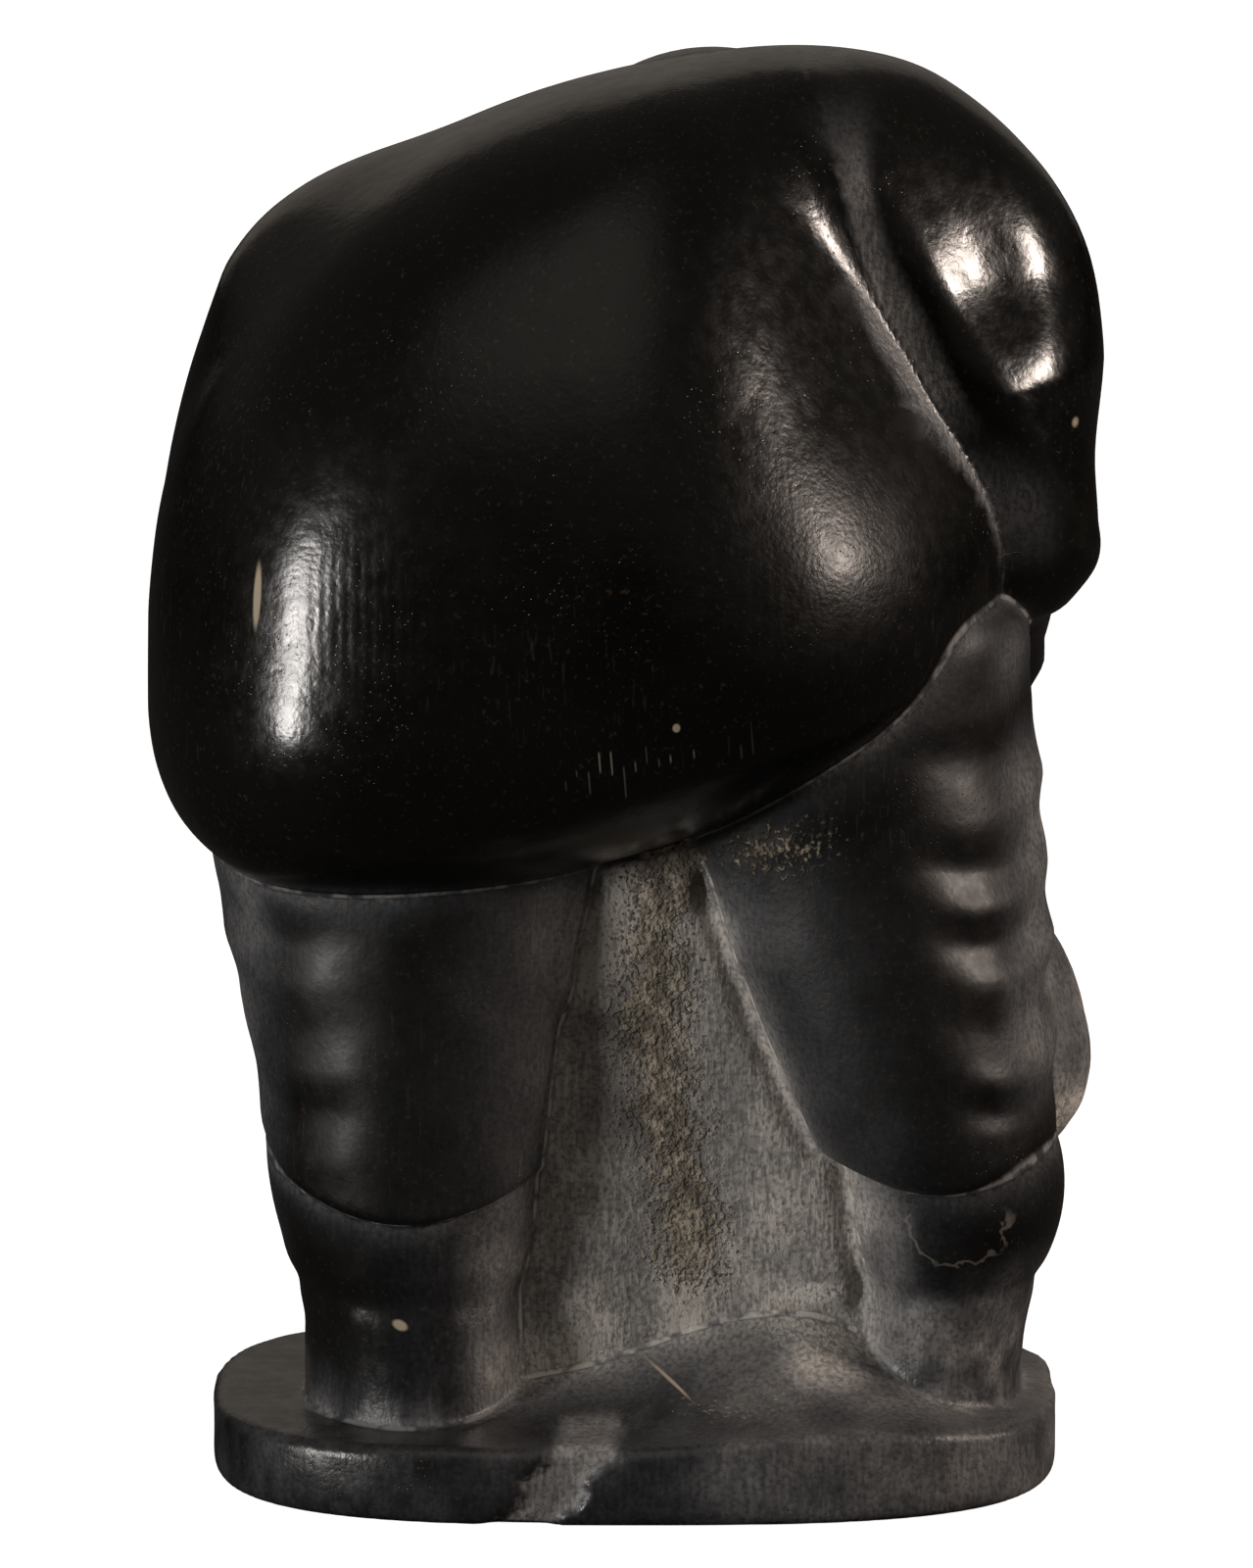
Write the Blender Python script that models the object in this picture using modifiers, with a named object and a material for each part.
"""A stocky hunter in a parka, bending over a seal, carved with its base from one block of soapstone.

One closed solid. Every mass of the carving is a function that gives the distance from a point to its surface.
Creases are where two masses meet, and swells, folds and the face are added to a mass's own distance. A block
roughed out from balls and a disc is remeshed, and its surface is then moved onto the masses.

The figure's places and sizes are in units of 1/137 of its height, from the middle of the base's top:
x to the figure's right hand side as seen from its back, y the way it faces, z up.
"""

import bpy
import numpy as np

# Driving dimensions, in metres
FIGURE_HEIGHT = 0.137
BASE_WIDTH = 0.0865
BASE_DEPTH = 0.062
BASE_THICKNESS = 0.009

# Where the figure stands on the base and where the base stands in the part's frame, in metres
BASE_FORWARD = 0.001
PLACE_X = 0.00075
PLACE_Y = -0.0084

UNIT = FIGURE_HEIGHT / 137.0
TRIANGLES = 9600

# Parka: reaches are left, right, back, front, up and down from the middle of the back
TORSO_MIDDLE = (-3.0, 0.0, 87.6)
TORSO_LOW_REACH = (46.8, 36.0, 31.0)
TORSO_HIGH_REACH = (44.5, 30.0, 47.2)
TORSO_LEAN = 0.27
TORSO_STOOP = 0.12
TORSO_POWER = 2.5
BLOCK_TOP = 137.2

# Limbs are chains of balls: x, y, z, radius
RIGHT_UPPER_ARM = (
    (34.0, 5.0, 103.0, 13.5),
    (36.8, 4.0, 87.0, 10.0),
)
RIGHT_FOREARM = (
    (35.5, 6.0, 87.0, 9.6),
    (31.5, 15.0, 74.0, 9.6),
    (22.0, 31.0, 60.0, 9.0),
)
LEFT_SLEEVE = (
    (-26.5, 12.0, 106.5, 16.3),
    (-35.3, 19.0, 89.0, 11.2),
)
LEFT_FOREARM = (
    (-35.3, 19.5, 89.0, 11.0),
    (-31.0, 28.0, 74.0, 10.0),
    (-22.0, 34.0, 60.0, 9.0),
)
RIGHT_MITTEN = (
    (19.5, 35.0, 57.0, 6.4),
    (15.5, 43.0, 49.0, 6.4),
    (13.5, 46.5, 41.0, 4.6),
)
LEFT_MITTEN = (
    (-20.0, 36.5, 57.0, 6.4),
    (-16.0, 43.5, 49.0, 6.4),
    (-14.0, 45.5, 41.0, 4.6),
)
RIGHT_THUMB = (
    (14.5, 36.0, 55.0, 3.2),
    (7.5, 41.5, 50.0, 2.8),
)
LEFT_THUMB = (
    (-15.0, 37.0, 55.0, 3.2),
    (-8.0, 42.0, 50.0, 2.8),
)

# Legs are stacks of ovals: z, x, y, half width, half depth
LEFT_TROUSER = (
    (21.0, -23.2, -6.0, 14.5, 17.0),
    (27.0, -23.0, -6.0, 15.0, 17.2),
    (39.0, -22.9, -5.0, 17.0, 18.5),
    (53.0, -22.4, -3.0, 20.4, 20.0),
    (71.0, -18.5, -2.0, 24.5, 21.0),
)
RIGHT_TROUSER = (
    (24.0, 31.2, -6.0, 12.2, 16.5),
    (32.0, 29.0, -6.0, 14.1, 17.5),
    (46.0, 25.5, -4.0, 17.3, 19.0),
    (59.0, 21.9, -2.0, 20.0, 20.0),
    (75.0, 17.5, -1.0, 23.0, 21.0),
)
LEFT_BOOT = (
    (-2.0, -22.0, -4.5, 11.2, 16.5),
    (7.0, -22.3, -5.0, 11.4, 15.5),
    (12.0, -22.6, -5.5, 12.1, 15.3),
    (18.0, -23.0, -5.5, 13.9, 15.5),
    (30.0, -23.0, -5.5, 14.3, 15.8),
)
RIGHT_BOOT = (
    (-2.0, 30.5, -2.5, 8.8, 14.5),
    (6.0, 31.0, -3.0, 8.6, 14.0),
    (11.0, 32.0, -4.5, 9.4, 14.2),
    (17.5, 32.7, -5.5, 11.1, 15.0),
    (31.0, 31.6, -5.5, 11.2, 15.3),
)

# Feet: middle, then reaches to the side, ahead and up
LEFT_FOOT = ((-22.0, 4.0, 2.0), (11.2, 21.5, 9.0))
RIGHT_FOOT = ((30.0, 6.0, 2.5), (8.8, 20.5, 9.0))

# Knees: middle, then reaches
LEFT_KNEE = ((-24.0, 8.0, 43.0), (15.0, 14.5, 14.0))
RIGHT_KNEE = ((27.0, 9.0, 44.0), (13.8, 13.5, 14.0))

# Cuffs: how high the trouser ends at the back and how much it rises to the sides
LEFT_CUFF = (21.0, 4.5)
RIGHT_CUFF = (24.0, 3.0)

# Crests of the trousers' folds, as heights at the outer side, and how far they stand out
LEFT_FOLDS = (56.0, 47.2, 38.0, 28.5)
RIGHT_FOLDS = (63.0, 54.2, 46.7, 35.8)
LEFT_FOLD_HEIGHT = 1.2
RIGHT_FOLD_HEIGHT = 2.3
FOLD_DROP = 2.6

# Seal: a chain of balls from the nose to the tail, then the hind flippers
SEAL = (
    (32.5, 25.0, 17.0, 4.2),
    (33.3, 23.0, 21.0, 6.2),
    (35.4, 20.0, 28.6, 9.2),
    (32.6, 22.8, 34.0, 10.8),
    (24.0, 29.5, 39.5, 12.2),
    (6.0, 34.0, 42.0, 13.0),
    (-13.0, 35.0, 41.5, 11.5),
    (-26.0, 37.0, 38.0, 8.0),
    (-31.0, 41.0, 34.0, 5.2),
)

# Head, with the face's frame tipped down
HEAD_MIDDLE = (8.0, 34.0, 112.3)
HOOD_RADIUS = 19.5
FACE_TIP = 16.0
FACE_HALF_WIDTH = 11.8
FACE_HALF_HEIGHT = 14.5
RUFF_HALF_WIDTH = 12.8
RUFF_HALF_HEIGHT = 15.6
RUFF_RADIUS = 3.3


def smooth_step(value, low, high):
    share = np.clip((value - low) / (high - low), 0.0, 1.0)
    return share * share * (3.0 - 2.0 * share)


def bell(value, middle, width):
    return np.exp(-(((value - middle) / width) ** 2))


def join(one, other, blend):
    """The nearer of two masses, rounded over where they meet."""
    share = np.clip(0.5 + 0.5 * (other - one) / blend, 0.0, 1.0)
    return other + (one - other) * share - blend * share * (1.0 - share)


def cut(one, other, blend):
    """What two masses have in common, with its edge rounded."""
    return -join(-one, -other, blend)


def boulder(points, middle, low_reach, high_reach, power=2.0, lean=0.0):
    """A rounded block whose reach may differ to either side of each axis."""
    offset = points - np.array(middle)
    offset[:, 2] -= lean * offset[:, 0]
    reach = np.where(offset < 0.0, np.array(low_reach), np.array(high_reach))
    share = np.abs(offset) / reach + 1e-6
    size = (share**power).sum(axis=1) ** (1.0 / power)
    slope = np.sqrt(((share ** (power - 1.0) / reach) ** 2).sum(axis=1)) * size ** (1.0 - power)
    return (size - 1.0) / slope


def ellipsoid(points, middle, radii):
    return boulder(points, middle, radii, radii)


def limb(points, stations, blend=2.0):
    nearest = None
    for start, end in zip(stations, stations[1:]):
        origin = np.array(start[:3])
        along = np.array(end[:3]) - origin
        share = np.clip((points - origin) @ along / (along @ along), 0.0, 1.0)
        gap = np.linalg.norm(points - origin - share[:, None] * along, axis=1)
        gap = gap - start[3] - share * (end[3] - start[3])
        nearest = gap if nearest is None else join(nearest, gap, blend)
    return nearest


def oval_at(height, stations):
    """The oval of a stack at this height: x, y, half width and half depth."""
    table = np.array(stations)
    inside = np.clip(height, table[0, 0], table[-1, 0])
    middle = table[:, 0].mean()
    return [
        np.polyval(np.polyfit(table[:, 0] - middle, column, 3), inside - middle)
        for column in table[:, 1:].T
    ]


def stack(points, stations):
    x, y, half_width, half_depth = oval_at(points[:, 2], stations)
    across = (points[:, 0] - x) / half_width
    ahead = (points[:, 1] - y) / half_depth
    size = np.hypot(across, ahead)
    slope = np.hypot(across / half_width, ahead / half_depth)
    return size * (size - 1.0) / np.maximum(slope, 1e-6)


def saw(height, crests):
    """1 at each crest and 0 just under it, rising again down to the next crest."""
    marks = sorted((c, 1.0) for c in crests) + sorted((c - FOLD_DROP, 0.0) for c in crests)
    marks.append((max(crests) + 9.0, 0.0))
    marks.append((min(crests) - FOLD_DROP - 5.0, 0.0))
    marks.sort()
    return np.interp(height, [m[0] for m in marks], [m[1] for m in marks])


def torso(points):
    stooped = points.copy()
    stooped[:, 1] -= TORSO_STOOP * (points[:, 2] - TORSO_MIDDLE[2])
    back = boulder(
        stooped, TORSO_MIDDLE, TORSO_LOW_REACH, TORSO_HIGH_REACH, TORSO_POWER, TORSO_LEAN
    )
    # The back is taken off aslant towards the right sleeve
    slope = (points - np.array((25.0, -9.0, 112.0))) @ np.array((0.702, -0.574, 0.421))
    back = cut(back, slope, 11.0)
    left = limb(points, LEFT_SLEEVE)
    return join(back, left, 9.0)


def right_sleeve(points):
    shoulder = boulder(points, (19.0, 10.0, 106.6), (20.0, 19.0, 30.0), (28.9, 18.0, 29.4), 2.0)
    arm = join(shoulder, limb(points, RIGHT_UPPER_ARM), 3.0)
    # A low ridge runs beside the groove
    aside = (points - np.array((25.0, 0.0, 112.0))) @ np.array((0.857, 0.0, 0.514))
    arm = arm - 1.2 * bell(aside, 6.5, 3.5) * smooth_step(-points[:, 1], -10.0, 0.0)
    return cut(arm, 78.8 - points[:, 2], 2.0)


def forearms(points):
    right = limb(points, RIGHT_FOREARM, 3.0)
    left = limb(points, LEFT_FOREARM, 3.0)
    height = points[:, 2] + 0.35 * np.abs(points[:, 0])
    wrinkles = 0.7 * saw(height, (99.0, 92.0, 86.0, 80.5, 75.5))
    return np.minimum(right, left) - wrinkles * smooth_step(points[:, 1], 8.0, 20.0)


def lap(points):
    """Stone left uncut between the belly, the arms and the thighs."""
    return ellipsoid(points, (0.0, 12.0, 56.0), (28.0, 17.0, 22.0))


def fold_swell(points, stations, crests, side):
    """Folds round the outer side of a leg, lowest behind it and fading out over the knee."""
    x, y, half_width, half_depth = oval_at(points[:, 2], stations)
    across = side * (points[:, 0] - x) / half_width
    ahead = (points[:, 1] - y) / half_depth
    turn = np.degrees(np.arctan2(ahead, across))
    strength = smooth_step(turn, -88.0, -62.0) * smooth_step(-turn, -95.0, -35.0)
    height = points[:, 2] + 4.0 * (1.0 - np.abs(turn + 62.0) / 62.0)
    return strength * (saw(height, crests) - 0.45)


def trouser(points, stations, knee, cuff, folds, side):
    leg = join(stack(points, stations), ellipsoid(points, *knee), 5.0)
    leg = leg - folds[1] * fold_swell(points, stations, folds[0], side)
    x, y, half_width, half_depth = oval_at(points[:, 2], stations)
    end = cuff[0] + cuff[1] * ((points[:, 0] - x) / half_width) ** 2
    end = end + 1.5 * smooth_step(points[:, 1] - y, 0.0, 10.0)
    leg = cut(leg, end - points[:, 2], 1.6)
    return cut(leg, points[:, 2] - TORSO_LEAN * points[:, 0] - 80.0, 8.0)


def trousers(points):
    left_folds = (LEFT_FOLDS, LEFT_FOLD_HEIGHT)
    right_folds = (RIGHT_FOLDS, RIGHT_FOLD_HEIGHT)
    left = trouser(points, LEFT_TROUSER, LEFT_KNEE, LEFT_CUFF, left_folds, -1.0)
    right = trouser(points, RIGHT_TROUSER, RIGHT_KNEE, RIGHT_CUFF, right_folds, 1.0)
    return join(left, right, 1.5)


def boots(points):
    left = np.maximum(stack(points, LEFT_BOOT), points[:, 2] - 31.0)
    right = np.maximum(stack(points, RIGHT_BOOT), points[:, 2] - 32.0)
    left_foot = boulder(points, LEFT_FOOT[0], LEFT_FOOT[1], LEFT_FOOT[1], 2.5)
    right_foot = boulder(points, RIGHT_FOOT[0], RIGHT_FOOT[1], RIGHT_FOOT[1], 2.5)
    return np.minimum(join(left, left_foot, 4.0), join(right, right_foot, 4.0))


def web(points):
    """The wall of rough stone left between the legs."""
    x, y, z = points.T
    share = np.clip(z / 66.0, 0.0, 1.0)
    half = 22.0 - 14.0 * share
    sides = np.abs(x - 6.0 + 4.0 * share) - half
    back = -10.0 - 4.5 * share - y + 1.5 * bell(x, 6.0, 9.0) * (1.0 - share)
    wall = cut(sides, back, 1.0)
    wall = cut(wall, y - 8.0, 3.0)
    return np.maximum(wall, z - 68.0)


def base(points):
    x, y, z = points.T
    half_width = BASE_WIDTH / 2.0 / UNIT
    half_depth = BASE_DEPTH / 2.0 / UNIT
    thickness = BASE_THICKNESS / UNIT
    across = np.abs(x) / half_width
    ahead = np.abs(y - BASE_FORWARD / UNIT) / half_depth
    size = (across**3.0 + ahead**3.0 + 1e-9) ** (1.0 / 3.0)
    side = (size - 1.0) * half_depth
    mound = (5.5 + 7.0 * smooth_step(x, -12.0, 22.0)) * np.exp(-(np.abs((x - 7.0) / 19.0) ** 2.6))
    mound = mound * np.clip((y + 28.0) / 19.0, 0.0, 1.0) ** 1.7 * smooth_step(-y, -24.0, -6.0)
    top = mound + 1.6 * bell(x, 20.0, 14.0) - 1.0
    block = cut(side, z - top, 4.0)
    return cut(block, -z - thickness, 1.6)


def seal(points):
    body = limb(points, SEAL, 8.0)
    x, y, z = points.T
    flipper = ellipsoid(points, (-33.0, 44.0, 29.5), (3.6, 5.2, 6.0))
    second = ellipsoid(points, (-27.0, 46.5, 29.5), (3.6, 4.6, 6.0))
    body = join(body, np.minimum(flipper, second), 3.0)
    # The head isn't cut free of the shin behind it
    bridge = ellipsoid(points, (31.0, 13.0, 25.0), (8.5, 11.0, 13.0))
    return join(body, bridge, 2.0)


def mittens(points):
    right = join(limb(points, RIGHT_MITTEN, 3.0), limb(points, RIGHT_THUMB), 1.2)
    left = join(limb(points, LEFT_MITTEN, 3.0), limb(points, LEFT_THUMB), 1.2)
    return np.minimum(right, left)


def face_axes(points):
    """Places in the face's own frame: across, up and forward from the middle of the head."""
    tip = np.radians(FACE_TIP)
    across, ahead, height = (points - np.array(HEAD_MIDDLE)).T
    forward = ahead * np.cos(tip) - height * np.sin(tip)
    upward = ahead * np.sin(tip) + height * np.cos(tip)
    return across, upward, forward


def face_relief(across, upward):
    """How far the features stand out from the oval of the face."""
    side = np.abs(across)
    nose_share = np.clip((3.6 - upward) / 8.4, 0.0, 1.0)
    nose = (0.5 + 2.3 * nose_share) * bell(across, 0.0, 1.3 + 0.8 * nose_share)
    nose = nose * smooth_step(upward, -6.0, -4.6) * smooth_step(-upward, -5.6, -2.6)
    wings = 0.9 * bell(side, 2.1, 1.0) * bell(upward, -4.4, 1.1)
    brow = 0.7 * bell(upward, 4.6 - 0.10 * (side - 3.5) ** 2, 1.5) * bell(side, 3.8, 5.0)
    socket = -1.5 * bell(side, 4.7, 2.8) * bell(upward, 1.3, 2.0)
    lid = 1.25 * bell(side, 4.7, 2.3) * bell(upward, 0.9, 1.15)
    slit = -0.5 * bell(upward, 0.4 - 0.05 * (side - 4.7) ** 2, 0.34) * smooth_step(-side, -7.2, -6.6)
    slit = slit * smooth_step(side, 2.2, 2.8)
    cheek = 1.0 * bell(side, 6.3, 3.2) * bell(upward, -3.4, 3.0)
    muzzle = 1.1 * bell(across, 0.0, 4.2) * bell(upward, -8.3, 3.0)
    lips = 0.7 * bell(across, 0.0, 2.7) * (bell(upward, -7.5, 0.8) + 1.1 * bell(upward, -9.4, 0.9))
    mouth = -0.8 * bell(upward, -8.4 + 0.015 * side**2, 0.42) * smooth_step(-side, -4.3, -3.2)
    chin = 1.1 * bell(across, 0.0, 3.2) * bell(upward, -12.6, 2.0)
    return nose + wings + brow + socket + lid + slit + cheek + muzzle + lips + mouth + chin


def head(points):
    across, upward, forward = face_axes(points)
    local = np.stack([across, upward, forward], axis=1)
    hood = np.linalg.norm(local * np.array((1.0, 0.97, 1.0)), axis=1) - HOOD_RADIUS
    hood = cut(hood, forward - 12.5, 4.0)
    ring = np.hypot(across / RUFF_HALF_WIDTH, upward / RUFF_HALF_HEIGHT)
    outward = (ring - 1.0) * (RUFF_HALF_WIDTH + RUFF_HALF_HEIGHT) / 2.0
    ruff = np.hypot(outward, forward - 11.6) - RUFF_RADIUS
    hood = join(hood, ruff, 1.2)
    oval = ellipsoid(local, (0.0, 0.0, 3.0), (FACE_HALF_WIDTH, FACE_HALF_HEIGHT, 12.6))
    oval = oval - face_relief(across, upward) * smooth_step(forward, 6.0, 10.0)
    return join(hood, oval, 0.8)


def carving(points):
    """Distance to the stone's surface, with soft joins high on the back and crisp ones elsewhere."""
    z = points[:, 2]
    coat = torso(points)
    sleeve_blend = 1.2 + 7.0 * smooth_step(z, 112.0, 130.0)
    coat = join(coat, right_sleeve(points), sleeve_blend)
    coat = cut(coat, z - BLOCK_TOP, 4.0)
    coat = join(coat, forearms(points), 1.6)
    coat = join(coat, head(points), 3.0)
    low = join(trousers(points), lap(points), 3.0)
    low = join(low, boots(points), 0.8)
    low = join(low, web(points), 1.2)
    low = join(low, seal(points), 1.0)
    low = join(low, base(points), 1.0)
    whole = join(coat, low, 1.0)
    return join(whole, mittens(points), 0.9)


def add_ball(middle, radii):
    bpy.ops.mesh.primitive_uv_sphere_add(
        segments=24, ring_count=16, radius=1.0, location=middle, scale=radii
    )
    return bpy.context.object


def rough_out():
    """Balls along every mass, and a disc for the base."""
    shapes = []
    torso_middle = np.array(TORSO_MIDDLE) + (
        np.array(TORSO_HIGH_REACH) - np.array(TORSO_LOW_REACH)
    ) / 2.0
    torso_radii = (np.array(TORSO_HIGH_REACH) + np.array(TORSO_LOW_REACH)) / 2.0
    shapes.append(add_ball(torso_middle, torso_radii))
    shapes.append(add_ball(HEAD_MIDDLE, (HOOD_RADIUS,) * 3))
    shapes.append(add_ball((0.0, 12.0, 56.0), (28.0, 17.0, 22.0)))
    shapes.append(add_ball((19.0, 10.0, 107.0), (27.0, 18.0, 29.0)))
    for middle, reach in (LEFT_FOOT, RIGHT_FOOT):
        shapes.append(add_ball(middle, reach))
    chains = (
        RIGHT_UPPER_ARM, RIGHT_FOREARM, LEFT_SLEEVE, LEFT_FOREARM, RIGHT_MITTEN, LEFT_MITTEN,
        RIGHT_THUMB, LEFT_THUMB, SEAL,
    )
    for chain in chains:
        for start, end in zip(chain, chain[1:]):
            for share in np.linspace(0.0, 1.0, 5):
                x, y, z, radius = (1.0 - share) * np.array(start) + share * np.array(end)
                shapes.append(add_ball((x, y, z), (radius,) * 3))
    for stations in (LEFT_TROUSER, RIGHT_TROUSER, LEFT_BOOT, RIGHT_BOOT):
        for height in np.linspace(stations[0][0] + 3.0, stations[-1][0], 9):
            x, y, half_width, half_depth = oval_at(height, stations)
            shapes.append(add_ball((x, y, height), (half_width, half_depth, 6.0)))
    for height in np.linspace(4.0, 62.0, 9):
        share = height / 66.0
        shapes.append(add_ball((6.0 - 4.0 * share, -2.0, height), (21.0 - 12.0 * share, 9.0, 7.0)))
    shapes.append(add_ball((31.0, 13.0, 25.0), (8.5, 11.0, 13.0)))
    shapes.append(add_ball((-33.0, 44.0, 29.5), (3.6, 5.2, 6.0)))
    shapes.append(add_ball((-27.0, 46.5, 29.5), (3.6, 4.6, 6.0)))
    thickness = BASE_THICKNESS / UNIT
    bpy.ops.mesh.primitive_cylinder_add(
        vertices=96,
        radius=1.0,
        depth=thickness + 1.0,
        location=(0.0, BASE_FORWARD / UNIT, (1.0 - thickness) / 2.0),
        scale=(BASE_WIDTH / 2.0 / UNIT, BASE_DEPTH / 2.0 / UNIT, 1.0),
    )
    shapes.append(bpy.context.object)
    bpy.ops.object.select_all(action="DESELECT")
    for shape in shapes:
        shape.select_set(True)
    bpy.context.view_layer.objects.active = shapes[0]
    bpy.ops.object.join()
    bpy.ops.object.transform_apply(location=True, rotation=True, scale=True)
    return bpy.context.object


def remesh(block, size):
    modifier = block.modifiers.new("even", "REMESH")
    modifier.mode = "VOXEL"
    modifier.voxel_size = size
    bpy.context.view_layer.objects.active = block
    bpy.ops.object.modifier_apply(modifier=modifier.name)


def slope_of(points):
    step = 0.15
    sides = []
    for axis in range(3):
        ahead = points.copy()
        behind = points.copy()
        ahead[:, axis] += step
        behind[:, axis] -= step
        sides.append((carving(ahead) - carving(behind)) / (2.0 * step))
    return np.stack(sides, axis=1)


def carve(block, rounds, ease):
    """Moves the surface onto the carving, evening its vertices along the surface as it goes."""
    mesh = block.data
    points = np.empty(len(mesh.vertices) * 3)
    mesh.vertices.foreach_get("co", points)
    points = points.reshape(-1, 3)
    edges = np.empty(len(mesh.edges) * 2, dtype=np.int64)
    mesh.edges.foreach_get("vertices", edges)
    first, second = edges.reshape(-1, 2).T
    count = np.bincount(first, minlength=len(points)) + np.bincount(second, minlength=len(points))
    for _ in range(rounds):
        slope = slope_of(points)
        steep = np.maximum((slope**2).sum(axis=1), 0.2)
        move = np.clip(carving(points) / steep, -2.0, 2.0)
        points = points - move[:, None] * slope
        outward = slope / np.sqrt(steep)[:, None]
        around = np.stack(
            [
                np.bincount(first, weights=points[second, axis], minlength=len(points))
                + np.bincount(second, weights=points[first, axis], minlength=len(points))
                for axis in range(3)
            ],
            axis=1,
        )
        pull = around / count[:, None] - points
        pull = pull - (pull * outward).sum(axis=1)[:, None] * outward
        points = points + ease * pull
    mesh.vertices.foreach_set("co", points.ravel())
    mesh.update()


def reduce_to(block, triangles):
    """Fewer triangles where the surface is flat."""
    modifier = block.modifiers.new("fewer", "TRIANGULATE")
    bpy.ops.object.modifier_apply(modifier=modifier.name)
    modifier = block.modifiers.new("fewer", "DECIMATE")
    modifier.ratio = triangles / len(block.data.polygons)
    bpy.ops.object.modifier_apply(modifier=modifier.name)


def place(block):
    """From the figure's units to metres, standing on its underside."""
    mesh = block.data
    points = np.empty(len(mesh.vertices) * 3)
    mesh.vertices.foreach_get("co", points)
    points = points.reshape(-1, 3) * UNIT
    points = points + np.array((PLACE_X, PLACE_Y, BASE_THICKNESS))
    points[:, 2] = np.maximum(points[:, 2], 0.0)
    mesh.vertices.foreach_set("co", points.ravel())
    mesh.update()


def stone_material():
    material = bpy.data.materials.new("polished_soapstone")
    material.use_nodes = True
    shader = material.node_tree.nodes["Principled BSDF"]
    shader.inputs["Base Color"].default_value = (0.020, 0.021, 0.019, 1.0)
    shader.inputs["Roughness"].default_value = 0.28
    shader.inputs["IOR"].default_value = 1.55
    return material


for old in list(bpy.data.objects):
    bpy.data.objects.remove(old, do_unlink=True)

hunter = rough_out()
remesh(hunter, 1.6)
carve(hunter, 8, 0.4)
remesh(hunter, 1.0)
carve(hunter, 6, 0.5)
reduce_to(hunter, TRIANGLES)
place(hunter)
hunter.name = "soapstone_hunter"
hunter.data.name = "soapstone_hunter"
hunter.data.materials.clear()
hunter.data.materials.append(stone_material())
for polygon in hunter.data.polygons:
    polygon.use_smooth = True

parts = bpy.data.collections.new("soapstone_hunter_sculpture")
bpy.context.scene.collection.children.link(parts)
for holder in list(hunter.users_collection):
    holder.objects.unlink(hunter)
parts.objects.link(hunter)
